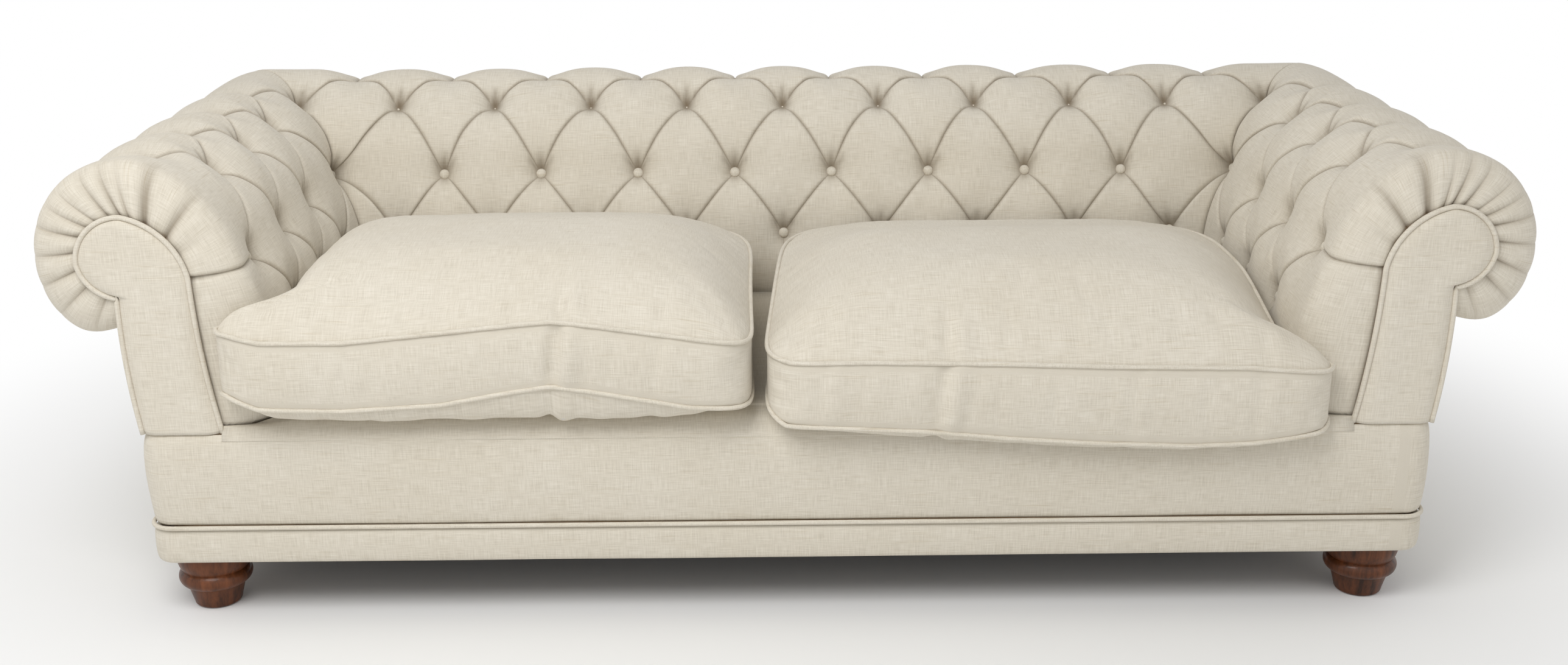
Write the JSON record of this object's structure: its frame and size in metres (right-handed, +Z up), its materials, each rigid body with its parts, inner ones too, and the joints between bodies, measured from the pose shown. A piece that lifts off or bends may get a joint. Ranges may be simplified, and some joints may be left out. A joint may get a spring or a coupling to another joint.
{
  "type": "chesterfield sofa",
  "caption": "Linen chesterfield sofa with rolled, deep-buttoned back and arms, loose feather seat cushions, a piped base band and turned wooden feet.",
  "frame": {"origin": "on the floor, under the middle of the sofa's box", "axes": "+X to the right seen from the front, +Y from the front to the back, +Z up"},
  "size_m": [2.2484, 1.0563, 0.7161],
  "materials": {
    "linen_cover": "matte slubby plain weave",
    "linen_trim": "matte plain weave",
    "frame_wood": "planed",
    "foot_wood": "dark polish",
    "steel": "bright wire",
    "hessian": "coarse open weave",
    "dust_cloth": "matte",
    "feather_fill": "cambric",
    "zip_tape": "woven tape",
    "zip_metal": "satin"
  },
  "bodies": {
    "sofa": {"back_buttons": "linen_trim", "back_lining": "hessian", "back_lower_rail": "frame_wood", "back_pad": "linen_cover", "back_posts": "frame_wood", "back_seat_rail": "frame_wood", "back_stiles": "frame_wood", "back_top_board": "frame_wood", "band_piping": "linen_trim", "base_band": "linen_cover", "base_border": "linen_cover", "centre_cross_rail": "frame_wood", "corner_blocks": "frame_wood", "dust_cover": "dust_cloth", "foot_hanger_bolts": "steel", "foot_t_nuts": "steel", "front_left_foot": "foot_wood", "front_right_foot": "foot_wood", "front_seat_rail": "frame_wood", "left_arm_buttons": "linen_trim", "left_arm_facing": "linen_cover", "left_arm_front_panel": "linen_cover", "left_arm_lining": "hessian", "left_arm_lower_rail": "frame_wood", "left_arm_pad": "linen_cover", "left_arm_roll_end": "linen_cover", "left_arm_top_board": "frame_wood", "left_facing_piping": "linen_trim", "left_outside_arm_panel": "linen_cover", "left_scroll_board": "frame_wood", "left_seat_rail": "frame_wood", "outside_back_panel": "linen_cover", "rear_left_foot": "foot_wood", "rear_right_foot": "foot_wood", "right_arm_buttons": "linen_trim", "right_arm_facing": "linen_cover", "right_arm_front_panel": "linen_cover", "right_arm_lining": "hessian", "right_arm_lower_rail": "frame_wood", "right_arm_pad": "linen_cover", "right_arm_roll_end": "linen_cover", "right_arm_top_board": "frame_wood", "right_facing_piping": "linen_trim", "right_outside_arm_panel": "linen_cover", "right_scroll_board": "frame_wood", "right_seat_rail": "frame_wood", "seat_deck_pad": "linen_cover", "seat_hessian": "hessian", "seat_springs": "steel", "spring_clips": "steel"},
    "left_cushion": {"left_cushion_cover": "linen_cover", "left_cushion_fill": "feather_fill", "left_cushion_piping": "linen_trim", "left_cushion_zip": "zip_tape"},
    "left_zip": {"left_zip_slider": "zip_metal"},
    "right_cushion": {"right_cushion_cover": "linen_cover", "right_cushion_fill": "feather_fill", "right_cushion_piping": "linen_trim", "right_cushion_zip": "zip_tape"},
    "right_zip": {"right_zip_slider": "zip_metal"}
  },
  "joints": [
    {"name": "left_cushion_lift", "type": "slide", "parent": "sofa", "child": "left_cushion", "axis": [0, 0, 1], "range_m": [0, 0.45]},
    {"name": "left_zip_slide", "type": "slide", "parent": "left_cushion", "child": "left_zip", "axis": [1, 0, 0], "range_m": [0, 0.512]},
    {"name": "right_cushion_lift", "type": "slide", "parent": "sofa", "child": "right_cushion", "axis": [0, 0, 1], "range_m": [0, 0.45]},
    {"name": "right_zip_slide", "type": "slide", "parent": "right_cushion", "child": "right_zip", "axis": [1, 0, 0], "range_m": [0, 0.512]}
  ]
}
